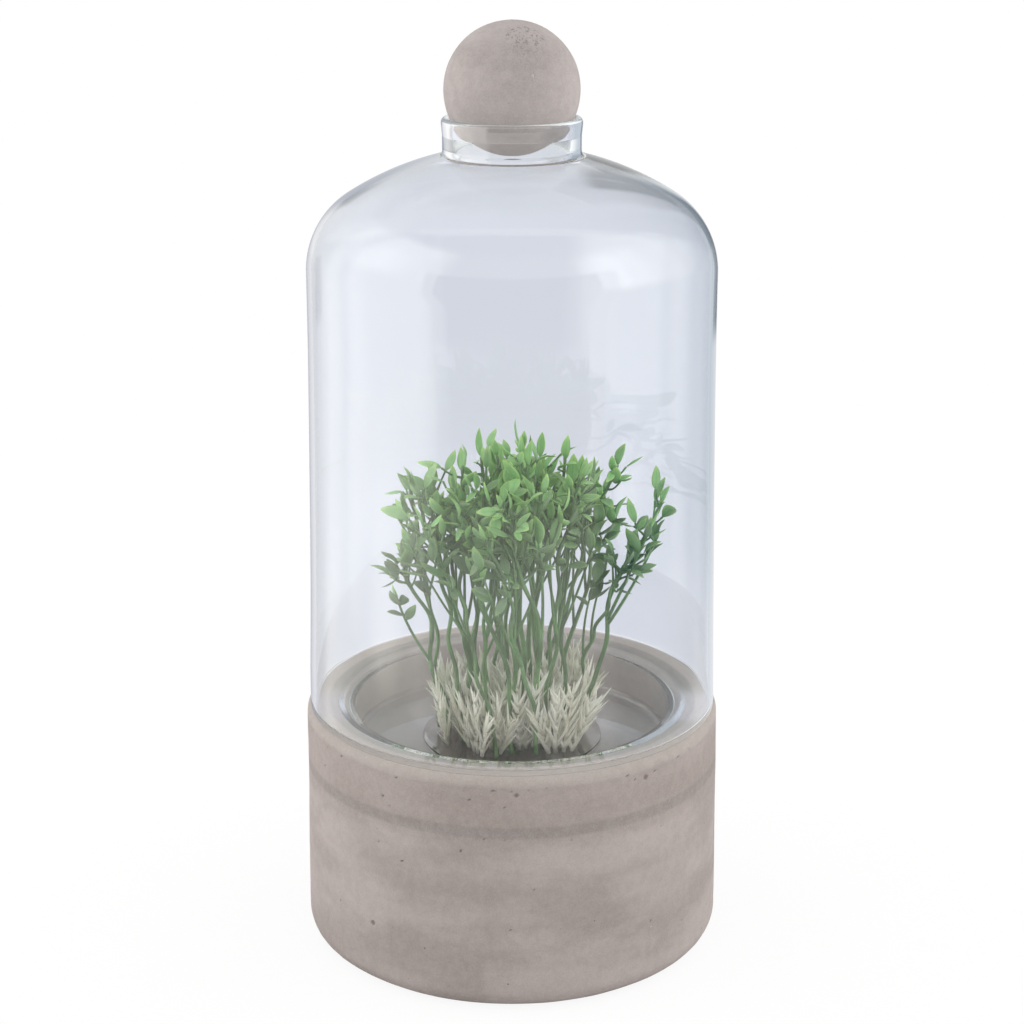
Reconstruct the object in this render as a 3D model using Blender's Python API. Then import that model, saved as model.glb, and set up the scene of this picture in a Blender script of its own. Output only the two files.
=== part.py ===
"""
Bottle terrarium: a tall glass bottle whose sunk foot nests in a cast concrete base.
A loose concrete ball closes its neck, and a moulded cress plant stands on its floor.

All lengths are in metres. The origin is the middle of the underside, and +Z is up.
Pieces that touch in life keep CONTACT_GAP between them.
"""

import math
import random

import bmesh
import bpy
import numpy as np
from mathutils import Vector

CONTACT_GAP = 0.0003
TURN_STEPS = 36
DISC_STEPS = 24
BALL_COLUMNS = 28
BALL_ROWS = 14
KNUCKLE_STEPS = 4
CROWN_STEPS = 3
LARGE_FILLET = 0.004
LARGE_FILLET_STEPS = 3
SMALL_FILLET_STEPS = 2
SHARP_ANGLE = math.radians(35)

# Concrete base, a casting that is hollow and open underneath
BASE_RADIUS = 0.100
BASE_HEIGHT = 0.117
BASE_DRAFT = 0.0015
BASE_TOP_ROUND = 0.0045
BASE_BOTTOM_ROUND = 0.0095
BASE_WALL = 0.020
BASE_FLOOR = 0.022
SEAT_WIDTH = 0.0175
WELL_DEPTH = 0.026
WELL_ROUND = 0.003
HOLLOW_DRAFT = 0.003
HOLLOW_ROUND = 0.008

# Glass bottle, blown in one piece
GLASS_SETBACK = 0.0016
GLASS_WALL = 0.0025
GLASS_FLOOR = 0.004
GLASS_FLARE = 0.0035
HEEL_ROUND = 0.0018
FOOT_SIDE_GAP = 0.0025
FOOT_FLOOR_GAP = 0.001
FOOT_DRAFT = 0.0015
FOOT_ROUND = 0.005
STEP_ROUND = 0.0012
WALL_HEIGHT = 0.2115
WAIST_FLARE = 0.0012
KNUCKLE_RADIUS = 0.040
KNUCKLE_TURN = math.radians(57.6)
NECK_BORE = 0.0284
NECK_WALL = 0.0034
NECK_HEIGHT = 0.0170
NECK_ROUND = 0.004
THROAT_STEP = 0.0024
THROAT_HEIGHT = 0.005
LIP_BEAD = 0.0005
LIP_HEIGHT = 0.005

# Concrete ball, a little wider than the bore that it rests in
BALL_OVERSIZE = 0.0028

# Moulded plant on a clear disc
DISC_RADIUS = 0.044
DISC_THICKNESS = 0.002
DISC_RIM = 0.003
FEET_MARGIN = 0.007
STEM_COUNT = 30
ROOT_COUNT = 24
STEM_RADIUS = 0.0014
STEM_TIP_RADIUS = 0.0009
STEM_HEIGHT = 0.142
STEM_DROP = 0.026
CROWN_SPREAD = 0.059
STEM_TWIST = math.radians(34)
BEND_ACROSS_SHARE = 0.25
BEND_HEIGHT_SHARE = 0.60
SWAY = 0.0026
SWAY_WAVES = 1.6
TWIG_RADIUS = 0.0006
TWIG_LENGTH = 0.0105
LEAF_LENGTH = 0.0145
LEAF_WIDTH = 0.0056
LEAF_THICKNESS = 0.0012
ROOT_HEIGHT = 0.034
ROOT_RADIUS = 0.0010
ROOT_LEAN_SHARE = 0.26
SPIKE_LENGTH = 0.012
LEAF_GAP = 0.0005
BALL_SPACING = 0.0015
GLASS_CLEARANCE = 0.003

# Stems that reach out of the crown: azimuth in degrees, and the head's reach and height as
# shares of CROWN_SPREAD and STEM_HEIGHT
STRAY_STEM_SHARES = (
    (352, 1.21, 0.86),
    (338, 0.97, 0.67),
    (12, 0.88, 0.95),
    (182, 0.83, 0.90),
    (196, 0.91, 0.64),
)

# Height where the leaves begin, as a share of STEM_HEIGHT. Below it a stem is bare and bends,
# above it the leaf nodes sit. These, and the spikes of a root, are placed by shares of the way.
LEAFLESS_SHARE = 0.56
BEND_SHARES = (0, 0.27, 0.53, 0.79)
LEAF_NODE_SHARES = (0.06, 0.38, 0.72)
SPIKE_NODE_SHARES = (0.16, 0.36, 0.56, 0.76)
NODE_LENGTH = 0.002

# Outline of a leaf as (share of its length, share of its width), and its arch by its length
LEAF_OUTLINE_SHARES = ((0.32, 1.0), (0.66, 0.78))
LEAF_ARCH_SHARE = 0.10

# How much stems, twigs, leaves and roots differ: lowest and highest share, or degrees
HEAD_SPREAD_SHARES = (0.88, 1.04)
HEAD_DROP_SHARES = (0.6, 1.4)
TWIG_RISE_DEGREES = (15, 50)
TWIG_SWING_SHARE = 0.35
TWIG_STRETCH_SHARES = (0.7, 1.6)
LEAF_DROOP_SHARES = (-0.7, 0.4)
LEAF_ROLL_DEGREES = (-75, 75)
LEAF_STRETCH_SHARES = (0.8, 1.1)
TOP_LEAF_SWING_SHARE = 0.5
ROOT_STRETCH_SHARES = (0.75, 1.15)
LEAN_STRETCH_SHARES = (0.3, 1.0)
ROOT_TAPER_SHARE = 0.5
SPIKE_WAY_SHARES = (0.85, 0.5)
SPIKE_TAPER_SHARES = (0.8, 0.3)
SPIKE_STRETCH_SHARES = (1.0, 0.8, 0.6, 0.45)

# Tries to find room for a twig and for the leaf on a stem's tip
TWIG_TRIES = 12
TOP_LEAF_TRIES = 60

GOLDEN_ANGLE = math.radians(137.508)
PLANT_SEED = 41

# Heights and radii that follow from the sizes above
WELL_FLOOR_Z = BASE_HEIGHT - WELL_DEPTH
WELL_RADIUS = BASE_RADIUS - SEAT_WIDTH
HOLLOW_RADIUS = BASE_RADIUS + BASE_DRAFT - BASE_WALL
SHOULDER_Z = BASE_HEIGHT + CONTACT_GAP
FOOT_RADIUS = WELL_RADIUS - FOOT_SIDE_GAP
FOOT_Z = WELL_FLOOR_Z + FOOT_FLOOR_GAP
GLASS_FLOOR_Z = FOOT_Z + GLASS_FLOOR
GLASS_RADIUS = BASE_RADIUS - GLASS_SETBACK
BODY_RADIUS = GLASS_RADIUS - GLASS_FLARE
SPRING_Z = SHOULDER_Z + WALL_HEIGHT
CROWN_RADIUS = KNUCKLE_RADIUS + (BODY_RADIUS - KNUCKLE_RADIUS) / math.cos(KNUCKLE_TURN)
CROWN_Z = SPRING_Z - (CROWN_RADIUS - KNUCKLE_RADIUS) * math.sin(KNUCKLE_TURN)
NECK_RADIUS = NECK_BORE + NECK_WALL
THROAT_RADIUS = NECK_BORE - THROAT_STEP
NECK_BASE_Z = CROWN_Z + math.sqrt(CROWN_RADIUS**2 - NECK_RADIUS**2)
LIP_Z = NECK_BASE_Z + NECK_HEIGHT
LIP_THICKNESS = NECK_WALL + LIP_BEAD
LIP_ROUND = LIP_THICKNESS * 0.49
BALL_RADIUS = NECK_BORE + BALL_OVERSIZE
DISC_Z = GLASS_FLOOR_Z + CONTACT_GAP
STEM_FOOT = DISC_THICKNESS + CONTACT_GAP
FEET_RADIUS = DISC_RADIUS - FEET_MARGIN
FEET_COUNT = STEM_COUNT + ROOT_COUNT


def clear_scene():
    """Remove what the file holds."""
    for thing in list(bpy.data.objects):
        bpy.data.objects.remove(thing)


def look(name, colour, roughness, transmission=0.0):
    """Plain Principled material."""
    material = bpy.data.materials.new(name)
    material.use_nodes = True
    shader = material.node_tree.nodes["Principled BSDF"]
    shader.inputs["Base Color"].default_value = (*colour, 1)
    shader.inputs["Roughness"].default_value = roughness
    shader.inputs["Transmission Weight"].default_value = transmission
    material.diffuse_color = (*colour, 1)
    return material


def add_piece(name, bm, material, location=(0, 0, 0), parent=None):
    """Turn a bmesh into a smooth shaded object."""
    bmesh.ops.recalc_face_normals(bm, faces=bm.faces)
    mesh = bpy.data.meshes.new(name)
    bm.to_mesh(mesh)
    bm.free()
    mesh.shade_smooth()
    mesh.set_sharp_from_angle(angle=SHARP_ANGLE)
    mesh.materials.append(material)
    piece = bpy.data.objects.new(name, mesh)
    piece.location = location
    piece.parent = parent
    bpy.context.collection.objects.link(piece)
    return piece


def rounded(corners):
    """Outline through corners given as (radius, height, fillet), with each fillet as an arc."""
    points = []
    for place, (radius, height, fillet) in enumerate(corners):
        corner = Vector((radius, height))
        if fillet == 0:
            points.append(corner)
            continue
        back = (Vector(corners[place - 1][:2]) - corner).normalized()
        ahead = (Vector(corners[place + 1][:2]) - corner).normalized()
        half_angle = back.angle(ahead) / 2
        tangent = fillet / math.tan(half_angle)
        centre = corner + (back + ahead).normalized() * fillet / math.sin(half_angle)
        start = (corner + back * tangent - centre).normalized()
        end = (corner + ahead * tangent - centre).normalized()
        steps = LARGE_FILLET_STEPS if fillet >= LARGE_FILLET else SMALL_FILLET_STEPS
        for step in range(steps + 1):
            points.append(centre + start.slerp(end, step / steps) * fillet)
    return points


def turned(outline, steps=TURN_STEPS):
    """Solid of revolution about the upright axis, from an outline that starts and ends on it."""
    bm = bmesh.new()
    verts = [bm.verts.new((radius, 0, height)) for radius, height in outline]
    edges = [bm.edges.new(pair) for pair in zip(verts, verts[1:])]
    bmesh.ops.spin(
        bm,
        geom=verts + edges,
        cent=(0, 0, 0),
        axis=(0, 0, 1),
        angle=math.tau,
        steps=steps,
        use_merge=True,
    )
    bmesh.ops.remove_doubles(bm, verts=bm.verts, dist=1e-6)
    return bm


def make_base():
    """Concrete casting: a well in its top, rounded edges and a drafted hollow underneath."""
    ceiling = WELL_FLOOR_Z - BASE_FLOOR
    outline = rounded(
        [
            (0, WELL_FLOOR_Z, 0),
            (WELL_RADIUS, WELL_FLOOR_Z, WELL_ROUND),
            (WELL_RADIUS, BASE_HEIGHT, 0),
            (BASE_RADIUS, BASE_HEIGHT, BASE_TOP_ROUND),
            (BASE_RADIUS + BASE_DRAFT, 0, BASE_BOTTOM_ROUND),
            (HOLLOW_RADIUS, 0, 0),
            (HOLLOW_RADIUS - HOLLOW_DRAFT, ceiling, HOLLOW_ROUND),
            (0, ceiling, 0),
        ]
    )
    concrete = look("base concrete", (0.46, 0.41, 0.38), 0.85)
    return add_piece("concrete_base", turned(outline), concrete)


def bottle_wall(inset):
    """Wall, knuckle and crown of the bottle, going up, moved in from the outside by inset."""
    middle_radius = BODY_RADIUS + WAIST_FLARE
    points = [(middle_radius - inset, SHOULDER_Z + WALL_HEIGHT / 2, 0)]
    for step in range(KNUCKLE_STEPS + 1):
        turn = KNUCKLE_TURN * step / KNUCKLE_STEPS
        radius = BODY_RADIUS - KNUCKLE_RADIUS + (KNUCKLE_RADIUS - inset) * math.cos(turn)
        points.append((radius, SPRING_Z + (KNUCKLE_RADIUS - inset) * math.sin(turn), 0))
    neck_radius = THROAT_RADIUS if inset else NECK_RADIUS
    last_turn = math.acos(neck_radius / (CROWN_RADIUS - inset))
    for step in range(1, CROWN_STEPS + 1):
        turn = KNUCKLE_TURN + (last_turn - KNUCKLE_TURN) * step / CROWN_STEPS
        radius = (CROWN_RADIUS - inset) * math.cos(turn)
        points.append((radius, CROWN_Z + (CROWN_RADIUS - inset) * math.sin(turn), 0))
    return points


def make_bottle():
    """Blown bottle: sunk foot, flat shoulder ring, flared wall, dome, throat and beaded lip."""
    inner_shoulder = SHOULDER_Z + GLASS_WALL
    inner_foot = FOOT_RADIUS - GLASS_WALL
    inside = [
        (0, GLASS_FLOOR_Z, 0),
        (inner_foot - FOOT_DRAFT, GLASS_FLOOR_Z, FOOT_ROUND - GLASS_WALL / 2),
        (inner_foot, inner_shoulder, STEP_ROUND + GLASS_WALL),
        (GLASS_RADIUS - GLASS_WALL, inner_shoulder, HEEL_ROUND),
        *bottle_wall(GLASS_WALL),
    ]
    throat_top = inside[-1][1] + THROAT_HEIGHT
    outside = [
        *reversed(bottle_wall(0)),
        (GLASS_RADIUS, SHOULDER_Z, HEEL_ROUND),
        (FOOT_RADIUS, SHOULDER_Z, STEP_ROUND),
        (FOOT_RADIUS - FOOT_DRAFT, FOOT_Z, FOOT_ROUND),
        (0, FOOT_Z, 0),
    ]
    outside[0] = (*outside[0][:2], NECK_ROUND)
    neck = [
        (NECK_BORE, throat_top, 0),
        (NECK_BORE, LIP_Z, LIP_ROUND),
        (NECK_RADIUS + LIP_BEAD, LIP_Z, LIP_ROUND),
        (NECK_RADIUS + LIP_BEAD, LIP_Z - LIP_HEIGHT, 0),
        (NECK_RADIUS, LIP_Z - LIP_HEIGHT - LIP_BEAD, 0),
    ]
    glass = look("clear glass", (0.86, 0.90, 0.96), 0.03, transmission=1.0)
    return add_piece("glass_bottle", turned(rounded(inside + neck + outside)), glass)


def make_stopper():
    """Concrete ball, seated on the inner side of the rounded lip."""
    lip_middle = NECK_BORE + LIP_ROUND
    reach = BALL_RADIUS + LIP_ROUND + CONTACT_GAP
    centre_z = LIP_Z - LIP_ROUND + math.sqrt(reach**2 - lip_middle**2)
    bm = bmesh.new()
    bmesh.ops.create_uvsphere(
        bm, u_segments=BALL_COLUMNS, v_segments=BALL_ROWS, radius=BALL_RADIUS
    )
    concrete = look("ball concrete", (0.44, 0.39, 0.36), 0.85)
    return add_piece("ball_stopper", bm, concrete, location=(0, 0, centre_z))


def make_disc(parent):
    """Clear disc with a thin rounded rim, which carries the stems and the roots."""
    outline = rounded(
        [
            (0, DISC_THICKNESS, 0),
            (DISC_RADIUS - DISC_RIM / 2, DISC_THICKNESS, 0),
            (DISC_RADIUS, DISC_THICKNESS / 2, 0),
            (DISC_RADIUS - DISC_RIM / 4, 0, 0),
            (0, 0, 0),
        ]
    )
    clear = look("clear disc", (0.80, 0.78, 0.74), 0.3, transmission=0.7)
    return add_piece("plant_disc", turned(outline, steps=DISC_STEPS), clear, parent=parent)


class Space:
    """Balls along the stems, leaves and roots laid so far, which the next one keeps clear of."""

    def __init__(self):
        self.centres = np.empty((0, 3))
        self.radii = np.empty(0)
        self.owners = np.empty(0, dtype=int)

    def take(self, centres, radii, owner=-1):
        """Fill the space with balls; an owner's own balls don't stop what grows on it."""
        self.centres = np.vstack([self.centres, centres])
        self.radii = np.append(self.radii, radii)
        self.owners = np.append(self.owners, [owner] * len(radii))

    def is_clear(self, centres, radii, owner):
        """Whether balls keep LEAF_GAP to all others and stay off the glass."""
        across = np.hypot(centres[:, 0], centres[:, 1]) + radii
        if across.max() > BODY_RADIUS - GLASS_WALL - GLASS_CLEARANCE:
            return False
        others = self.owners != owner
        apart = centres[:, None] - self.centres[others]
        gaps = np.linalg.norm(apart, axis=2) - radii[:, None] - self.radii[others]
        return gaps.min() > LEAF_GAP


def balls_along(points, radii):
    """Centres and radii of balls along a run of straight stretches."""
    centres = []
    sizes = []
    for start, end, first, last in zip(points, points[1:], radii, radii[1:]):
        count = max(2, math.ceil((end - start).length / BALL_SPACING))
        for step in range(count):
            share = step / count
            centres.append(start.lerp(end, share))
            sizes.append(first + (last - first) * share)
    centres.append(points[-1])
    sizes.append(radii[-1])
    return np.array(centres), np.array(sizes)


def ring(bm, centre, side, front):
    """Four corners of a cross-section."""
    return [bm.verts.new(centre + step) for step in (side, front, -side, -front)]


def wall(bm, lower, upper, open_sides=()):
    """Skin between two cross-sections, leaving out the sides that a branch grows from."""
    for side in range(4):
        if side not in open_sides:
            after = (side + 1) % 4
            bm.faces.new((lower[side], lower[after], upper[after], upper[side]))


def side_face(lower, upper, side):
    """Corners of one side of a node, in the order of a cross-section seen from its branch."""
    after = (side + 1) % 4
    return [lower[side], lower[after], upper[after], upper[side]]


def close_to_point(bm, last_ring, point):
    """End a limb in a point."""
    tip = bm.verts.new(point)
    for side in range(4):
        bm.faces.new((last_ring[side], last_ring[(side + 1) % 4], tip))


def leaf_sections(start, heading, roll, length):
    """Cross-sections of one leaf as (centre, half width, half thickness), and its tip."""
    flat = Vector((0, 0, 1)).cross(heading)
    if flat.length < 0.05:
        flat = Vector((1, 0, 0)).cross(heading)
    flat.normalize()
    upper = heading.cross(flat)
    across = flat * math.cos(roll) + upper * math.sin(roll)
    upper = heading.cross(across)
    width = LEAF_WIDTH * length / LEAF_LENGTH
    sections = []
    for share, fullness in LEAF_OUTLINE_SHARES:
        arch = upper * length * LEAF_ARCH_SHARE * math.sin(math.pi * share)
        centre = start + heading * length * share + arch
        sections.append((centre, across * width * fullness / 2, upper * LEAF_THICKNESS / 2))
    return sections, start + heading * length


def leaf_balls(start, sections, tip):
    """Balls that a leaf fills, with the twig's end first."""
    points = [start] + [centre for centre, _, _ in sections] + [tip]
    radii = [TWIG_RADIUS] + [across.length for _, across, _ in sections] + [TWIG_RADIUS / 2]
    return balls_along(points, radii)


def grow_leaf(bm, last_ring, sections, tip):
    """Skin a leaf onto the ring or face that it grows from."""
    for centre, across, upper in sections:
        leaf_ring = ring(bm, centre, -upper, across)
        wall(bm, last_ring, leaf_ring)
        last_ring = leaf_ring
    close_to_point(bm, last_ring, tip)


def plan_twig(rng, root, outward, along, space, owner):
    """Find room for a twig with a leaf on its end; None where there is no room."""
    for _ in range(TWIG_TRIES):
        rise = math.radians(rng.uniform(*TWIG_RISE_DEGREES))
        heading = outward * math.cos(rise) + along * math.sin(rise)
        swing = Vector([rng.uniform(-TWIG_SWING_SHARE, TWIG_SWING_SHARE) for _ in range(3)])
        heading = (heading + swing).normalized()
        joint = root + heading * TWIG_LENGTH * rng.uniform(*TWIG_STRETCH_SHARES)
        droop = Vector((0, 0, rng.uniform(*LEAF_DROOP_SHARES)))
        leaf_heading = (heading + droop).normalized()
        length = LEAF_LENGTH * rng.uniform(*LEAF_STRETCH_SHARES)
        roll = math.radians(rng.uniform(*LEAF_ROLL_DEGREES))
        sections, tip = leaf_sections(joint, leaf_heading, roll, length)
        twig = balls_along([root + heading * STEM_RADIUS, joint], [TWIG_RADIUS] * 2)
        leaf = leaf_balls(joint, sections, tip)
        centres = np.vstack([twig[0], leaf[0]])
        radii = np.append(twig[1], leaf[1])
        if space.is_clear(centres, radii, owner):
            space.take(centres, radii)
            return joint, heading, sections, tip
    return None


def grow_twig(bm, face, plan):
    """Skin a planned twig and its leaf onto an open side of the stem."""
    joint, heading, sections, tip = plan
    side = Vector((0, 0, 1)).cross(heading).normalized()
    front = heading.cross(side)
    end = ring(bm, joint, -front * TWIG_RADIUS, side * TWIG_RADIUS)
    wall(bm, face, end)
    grow_leaf(bm, end, sections, tip)


def stem_place(index):
    """Place of a stem among the feet: stems and roots take turns, a stem first and last of nine."""
    return index // 5 * 9 + index % 5 * 2


def root_place(index):
    """Place of a root among the feet, between the stems."""
    return index // 4 * 9 + index % 4 * 2 + 1


def out_share(place):
    """How far out a place is, from 0 to 1, in an even spread as the seeds of a sunflower."""
    return math.sqrt((place + 0.5) / FEET_COUNT)


def foot_point(place):
    """Foot of the stem or root at a place."""
    radius = FEET_RADIUS * out_share(place)
    angle = place * GOLDEN_ANGLE
    return Vector((radius * math.cos(angle), radius * math.sin(angle), STEM_FOOT))


def stem_heads():
    """Top of each stem: a crown that is tallest in the middle, with a few stray stems."""
    heads = []
    for index in range(STEM_COUNT):
        rng = random.Random(PLANT_SEED * 100 + index)
        place = stem_place(index)
        share = out_share(place)
        radius = CROWN_SPREAD * share * rng.uniform(*HEAD_SPREAD_SHARES)
        height = STEM_HEIGHT - STEM_DROP * share**2 * rng.uniform(*HEAD_DROP_SHARES)
        twist = STEM_TWIST if place < FEET_COUNT / 2 else -STEM_TWIST
        angle = place * GOLDEN_ANGLE + twist
        heads.append(Vector((radius * math.cos(angle), radius * math.sin(angle), height)))
    outer = list(range(STEM_COUNT // 2, STEM_COUNT))
    for azimuth, reach, height in STRAY_STEM_SHARES:
        angle = math.radians(azimuth)
        toward = Vector((math.cos(angle), math.sin(angle), 0))
        nearest = max(outer, key=lambda index: foot_point(stem_place(index)).dot(toward))
        outer.remove(nearest)
        heads[nearest] = toward * reach * CROWN_SPREAD + Vector((0, 0, height * STEM_HEIGHT))
    return heads


def stem_path(index, head):
    """Shares and points up a stem, which leans and turns towards its head and sways."""
    rng = random.Random(PLANT_SEED * 200 + index)
    foot = foot_point(stem_place(index))
    bend = foot.lerp(head, BEND_ACROSS_SHARE)
    bend.z = head.z * BEND_HEIGHT_SHARE
    direction = rng.uniform(0, math.tau)
    sway = Vector((math.cos(direction), math.sin(direction), 0)) * SWAY
    phase = rng.uniform(0, math.tau)
    node_share = NODE_LENGTH / head.z
    leafless = LEAFLESS_SHARE * STEM_HEIGHT / head.z
    shares = [leafless * bend_share for bend_share in BEND_SHARES]
    for node in LEAF_NODE_SHARES:
        lower = leafless + (1 - leafless) * node
        shares += [lower, lower + node_share]
    shares.append(1)
    points = []
    for share in shares:
        point = foot * (1 - share) ** 2 + bend * 2 * share * (1 - share) + head * share**2
        wave = math.sin(SWAY_WAVES * math.tau * share + phase) * 4 * share * (1 - share)
        points.append(point + sway * wave)
    return shares, points


def stem_radius(share):
    """Taper of a stem."""
    return STEM_RADIUS + (STEM_TIP_RADIUS - STEM_RADIUS) * share


def stem_spin(index):
    """Turn of a stem's cross-section about its own length."""
    return index * GOLDEN_ANGLE


def stem_frame(points, place, spin):
    """Direction of a stem at one of its points, and two directions across it."""
    along = (points[min(place + 1, len(points) - 1)] - points[max(place - 1, 0)]).normalized()
    if place == 0:
        along = Vector((0, 0, 1))
    side = Vector((math.cos(spin), math.sin(spin), 0))
    side = (side - along * side.dot(along)).normalized()
    return along, side, along.cross(side)


def plan_top_leaf(index, points, space):
    """Find room for the leaf that ends a stem."""
    rng = random.Random(PLANT_SEED * 500 + index)
    along = (points[-1] - points[-2]).normalized()
    for trial in range(TOP_LEAF_TRIES):
        swing = Vector([rng.uniform(-TOP_LEAF_SWING_SHARE, TOP_LEAF_SWING_SHARE) for _ in range(3)])
        heading = (along + swing).normalized()
        shorter = 1 - trial / (2 * TOP_LEAF_TRIES)
        length = LEAF_LENGTH * rng.uniform(*LEAF_STRETCH_SHARES) * shorter
        sections, tip = leaf_sections(points[-1], heading, rng.uniform(0, math.pi), length)
        centres, radii = leaf_balls(points[-1], sections, tip)
        if space.is_clear(centres, radii, index):
            break
    space.take(centres, radii)
    return sections, tip


def make_sprig(index, shares, points, top_leaf, space, material, parent):
    """One moulded stem with leaves on twigs at its nodes and a leaf on its tip."""
    rng = random.Random(PLANT_SEED * 300 + index)
    spin = stem_spin(index)
    bm = bmesh.new()
    rings = []
    for place, (share, point) in enumerate(zip(shares, points)):
        _, side, front = stem_frame(points, place, spin)
        radius = stem_radius(share)
        rings.append(ring(bm, point, side * radius, front * radius))
    bm.faces.new(reversed(rings[0]))

    grow_leaf(bm, rings[-1], *top_leaf)

    first_node = len(points) - 1 - 2 * len(LEAF_NODE_SHARES)
    for place in range(len(points) - 1):
        lower, upper = rings[place], rings[place + 1]
        node, within = divmod(place - first_node, 2)
        if place < first_node or within:
            wall(bm, lower, upper)
            continue
        open_sides = []
        for face_side in (node % 2, node % 2 + 2):
            corners = side_face(lower, upper, face_side)
            root = sum((corner.co for corner in corners), Vector()) / 4
            along, _, _ = stem_frame(points, place, spin)
            outward = root - (points[place] + points[place + 1]) / 2
            outward = (outward - along * outward.dot(along)).normalized()
            plan = plan_twig(rng, root, outward, along, space, index)
            if plan:
                grow_twig(bm, corners, plan)
                open_sides.append(face_side)
        wall(bm, lower, upper, open_sides)
    add_piece(f"cress_sprig_{index + 1:02d}", bm, material, parent=parent)


def plan_spike(root, heading, space, owner):
    """Tip of the longest spike that there is room for; None where there is no room."""
    for share in SPIKE_STRETCH_SHARES:
        tip = root + heading * SPIKE_LENGTH * share
        centres, radii = balls_along([root, tip], [ROOT_RADIUS * part for part in SPIKE_TAPER_SHARES])
        if space.is_clear(centres, radii, owner):
            space.take(centres, radii)
            return tip
    return None


def root_path(index):
    """Points up the rib of a root, which leans out and tapers to its tip."""
    rng = random.Random(PLANT_SEED * 400 + index)
    foot = foot_point(root_place(index))
    outward = Vector((foot.x, foot.y, 0)).normalized()
    height = ROOT_HEIGHT * rng.uniform(*ROOT_STRETCH_SHARES)
    lean = ROOT_LEAN_SHARE * rng.uniform(*LEAN_STRETCH_SHARES)
    rib = Vector((0, 0, height)) + outward * height * lean
    shares = [0]
    for node in SPIKE_NODE_SHARES:
        shares += [node, node + NODE_LENGTH / height]
    return shares, [foot + rib * share for share in shares], foot + rib


def make_root(index, path, space, material, parent):
    """One moulded root: a flat rib with pairs of spikes that slant up from its sides."""
    shares, points, tip = path
    foot = points[0]
    outward = Vector((foot.x, foot.y, 0)).normalized()
    sideways = Vector((0, 0, 1)).cross(outward)
    along = (tip - foot).normalized()
    bm = bmesh.new()
    rings = []
    for share, point in zip(shares, points):
        radius = ROOT_RADIUS * (1 - ROOT_TAPER_SHARE * share)
        corner = (outward + sideways) * radius / math.sqrt(2)
        other = (sideways - outward) * radius / math.sqrt(2)
        rings.append(ring(bm, point, corner, other))
    bm.faces.new(reversed(rings[0]))
    close_to_point(bm, rings[-1], tip)
    for place in range(len(points) - 1):
        lower, upper = rings[place], rings[place + 1]
        open_sides = []
        if place % 2:
            for face_side, toward in ((0, sideways), (2, -sideways)):
                corners = side_face(lower, upper, face_side)
                root = sum((corner.co for corner in corners), Vector()) / 4
                heading = (along * SPIKE_WAY_SHARES[0] + toward * SPIKE_WAY_SHARES[1]).normalized()
                spike = plan_spike(root, heading, space, STEM_COUNT + index)
                if spike:
                    close_to_point(bm, corners, spike)
                    open_sides.append(face_side)
        wall(bm, lower, upper, open_sides)
    add_piece(f"root_spray_{index + 1:02d}", bm, material, parent=parent)


def make_plant():
    """Disc, sprigs and roots, all parented to an empty on the bottle's floor."""
    plant = bpy.data.objects.new("plant", None)
    plant.location = (0, 0, DISC_Z)
    bpy.context.collection.objects.link(plant)
    make_disc(plant)

    space = Space()
    stems = [stem_path(index, head) for index, head in enumerate(stem_heads())]
    for index, (shares, points) in enumerate(stems):
        space.take(*balls_along(points, [stem_radius(share) for share in shares]), owner=index)
    roots = [root_path(index) for index in range(ROOT_COUNT)]
    for index, (shares, points, tip) in enumerate(roots):
        rib = balls_along([*points, tip], [ROOT_RADIUS] * (len(points) + 1))
        space.take(*rib, owner=STEM_COUNT + index)

    top_leaves = [plan_top_leaf(index, points, space) for index, (_, points) in enumerate(stems)]
    green = look("green plastic", (0.12, 0.42, 0.10), 0.45)
    for index, (shares, points) in enumerate(stems):
        make_sprig(index, shares, points, top_leaves[index], space, green, plant)
    cream = look("cream plastic", (0.62, 0.60, 0.48), 0.5)
    for index, path in enumerate(roots):
        make_root(index, path, space, cream, plant)


clear_scene()
make_base()
make_bottle()
make_stopper()
make_plant()
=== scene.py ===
import math
import random

import bpy
import numpy as np
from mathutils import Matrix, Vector


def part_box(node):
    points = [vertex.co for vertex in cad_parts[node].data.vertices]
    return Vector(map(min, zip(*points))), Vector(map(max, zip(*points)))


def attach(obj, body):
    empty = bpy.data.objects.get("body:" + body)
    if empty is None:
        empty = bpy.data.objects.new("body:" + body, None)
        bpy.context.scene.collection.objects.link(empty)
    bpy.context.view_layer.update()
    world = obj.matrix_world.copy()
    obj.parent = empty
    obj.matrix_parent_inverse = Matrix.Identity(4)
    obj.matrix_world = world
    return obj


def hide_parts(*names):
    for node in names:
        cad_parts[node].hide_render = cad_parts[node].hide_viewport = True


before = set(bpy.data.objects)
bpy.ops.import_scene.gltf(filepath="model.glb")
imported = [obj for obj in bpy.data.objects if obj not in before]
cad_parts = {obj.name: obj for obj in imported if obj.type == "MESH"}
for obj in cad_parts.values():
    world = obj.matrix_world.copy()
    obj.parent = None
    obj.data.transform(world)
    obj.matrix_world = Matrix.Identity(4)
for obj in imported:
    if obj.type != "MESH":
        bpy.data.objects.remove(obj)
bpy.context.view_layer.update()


# Studio. The camera looks down a little on a white table, as a product photographer sets it up.
# The room is a world in directions: what lights the object, what the glass mirrors and what is
# seen through it are set apart, as the photograph was cut out and put on white.

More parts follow.
